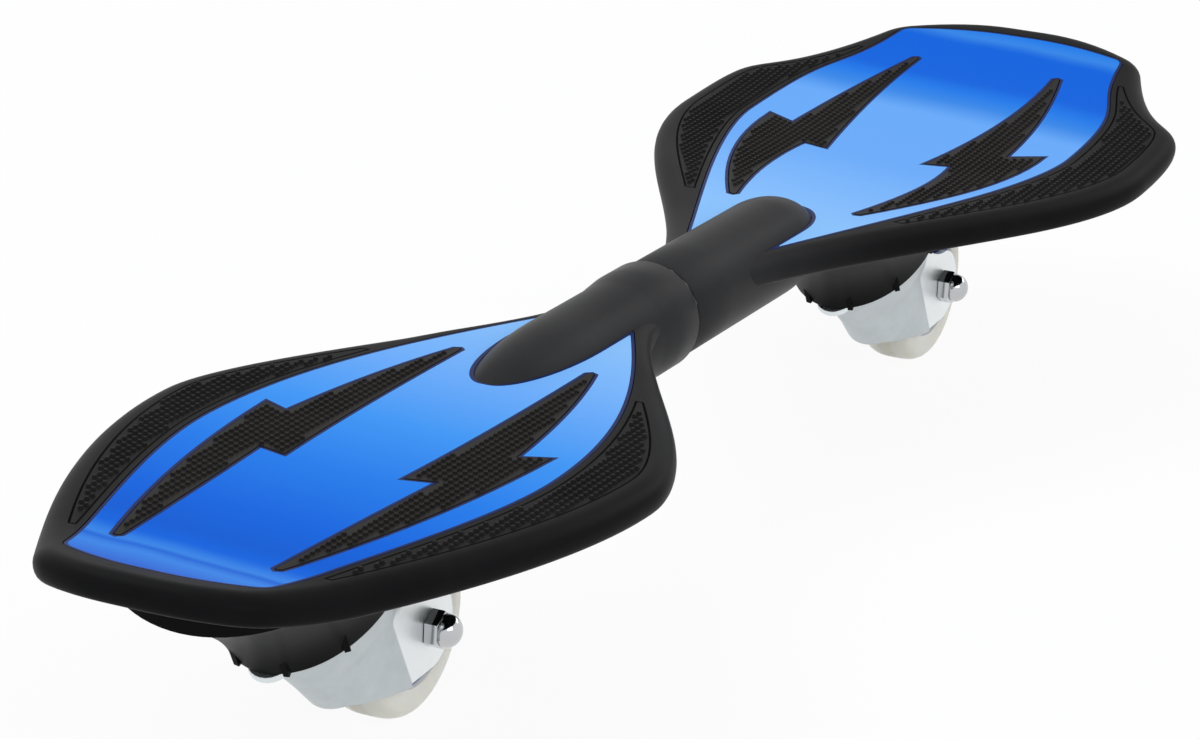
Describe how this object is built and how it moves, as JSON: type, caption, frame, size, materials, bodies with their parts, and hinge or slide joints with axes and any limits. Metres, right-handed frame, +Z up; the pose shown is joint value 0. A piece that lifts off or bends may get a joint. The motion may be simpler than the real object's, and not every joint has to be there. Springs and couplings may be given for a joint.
{
  "type": "caster board",
  "caption": "Two-deck twisting caster board: moulded black decks with blue inlays, a sprung twist neck and an inclined swivel caster under each deck.",
  "frame": {"origin": "on the floor, below the middle of the board's length and width", "axes": "+X along the board towards the front deck, +Y to the rider's left, +Z up"},
  "size_m": [0.864, 0.238, 0.1324],
  "materials": {
    "deck_plastic": "black moulded plastic with a fine satin texture",
    "panel_plastic": "glossy blue inlay, lighter towards the neck",
    "zinc_steel": "bright zinc-plated pressed steel",
    "chrome_steel": "polished chrome",
    "ball_steel": "ground bearing steel",
    "spring_steel": "dark oiled spring steel",
    "nylon": "natural nylon",
    "tyre_urethane": "cream translucent polyurethane",
    "hub_nylon": "dark blue moulded nylon"
  },
  "bodies": {
    "front": {"front_deck": "deck_plastic", "front_panel": "panel_plastic", "pivot_tube": "zinc_steel", "front_torsion_anchor": "zinc_steel", "front_anchor_bolt": "zinc_steel", "torsion_bar": "spring_steel", "neck_thrust_washer": "nylon", "front_race_plate": "zinc_steel", "front_plate_screw": "zinc_steel", "front_kingpin_bolt": "zinc_steel", "front_kingpin_washer": "zinc_steel", "front_kingpin_nut": "zinc_steel"},
    "rear": {"rear_deck": "deck_plastic", "rear_panel": "panel_plastic", "neck_outer_bushing": "nylon", "neck_inner_bushing": "nylon", "rear_torsion_anchor": "zinc_steel", "rear_anchor_bolt": "zinc_steel", "rear_race_plate": "zinc_steel", "rear_plate_screw": "zinc_steel", "rear_kingpin_bolt": "zinc_steel", "rear_kingpin_washer": "zinc_steel", "rear_kingpin_nut": "zinc_steel"},
    "front_caster": {"front_fork": "zinc_steel", "front_ball_ring": "ball_steel", "front_bearing_spacer": "zinc_steel", "front_axle_washer_left": "zinc_steel", "front_axle_washer_right": "zinc_steel", "front_axle_bolt": "zinc_steel", "front_cap_nut": "chrome_steel"},
    "front_wheel": {"front_tyre": "tyre_urethane", "front_hub": "hub_nylon", "front_bearing_left": "ball_steel", "front_bearing_right": "ball_steel"},
    "rear_caster": {"rear_fork": "zinc_steel", "rear_ball_ring": "ball_steel", "rear_bearing_spacer": "zinc_steel", "rear_axle_washer_left": "zinc_steel", "rear_axle_washer_right": "zinc_steel", "rear_axle_bolt": "zinc_steel", "rear_cap_nut": "chrome_steel"},
    "rear_wheel": {"rear_tyre": "tyre_urethane", "rear_hub": "hub_nylon", "rear_bearing_left": "ball_steel", "rear_bearing_right": "ball_steel"}
  },
  "joints": [
    {"name": "deck_twist", "type": "hinge", "parent": "front", "child": "rear", "pos_m": [0.012, 0, 0.1], "axis": [1, 0, 0], "range_deg": [-20, 20], "stiffness_Nm_per_rad": 120},
    {"name": "front_caster_swivel", "type": "hinge", "parent": "front", "child": "front_caster", "pos_m": [0.28679, 0, 0.07796], "axis": [0.5, 0, 0.866], "continuous": true},
    {"name": "front_wheel_spin", "type": "hinge", "parent": "front_caster", "child": "front_wheel", "pos_m": [0.236, 0, 0.038], "axis": [0, 1, 0], "continuous": true},
    {"name": "rear_caster_swivel", "type": "hinge", "parent": "rear", "child": "rear_caster", "pos_m": [-0.23522, 0, 0.07796], "axis": [0.5, 0, 0.866], "continuous": true},
    {"name": "rear_wheel_spin", "type": "hinge", "parent": "rear_caster", "child": "rear_wheel", "pos_m": [-0.286, 0, 0.038], "axis": [0, 1, 0], "continuous": true}
  ]
}
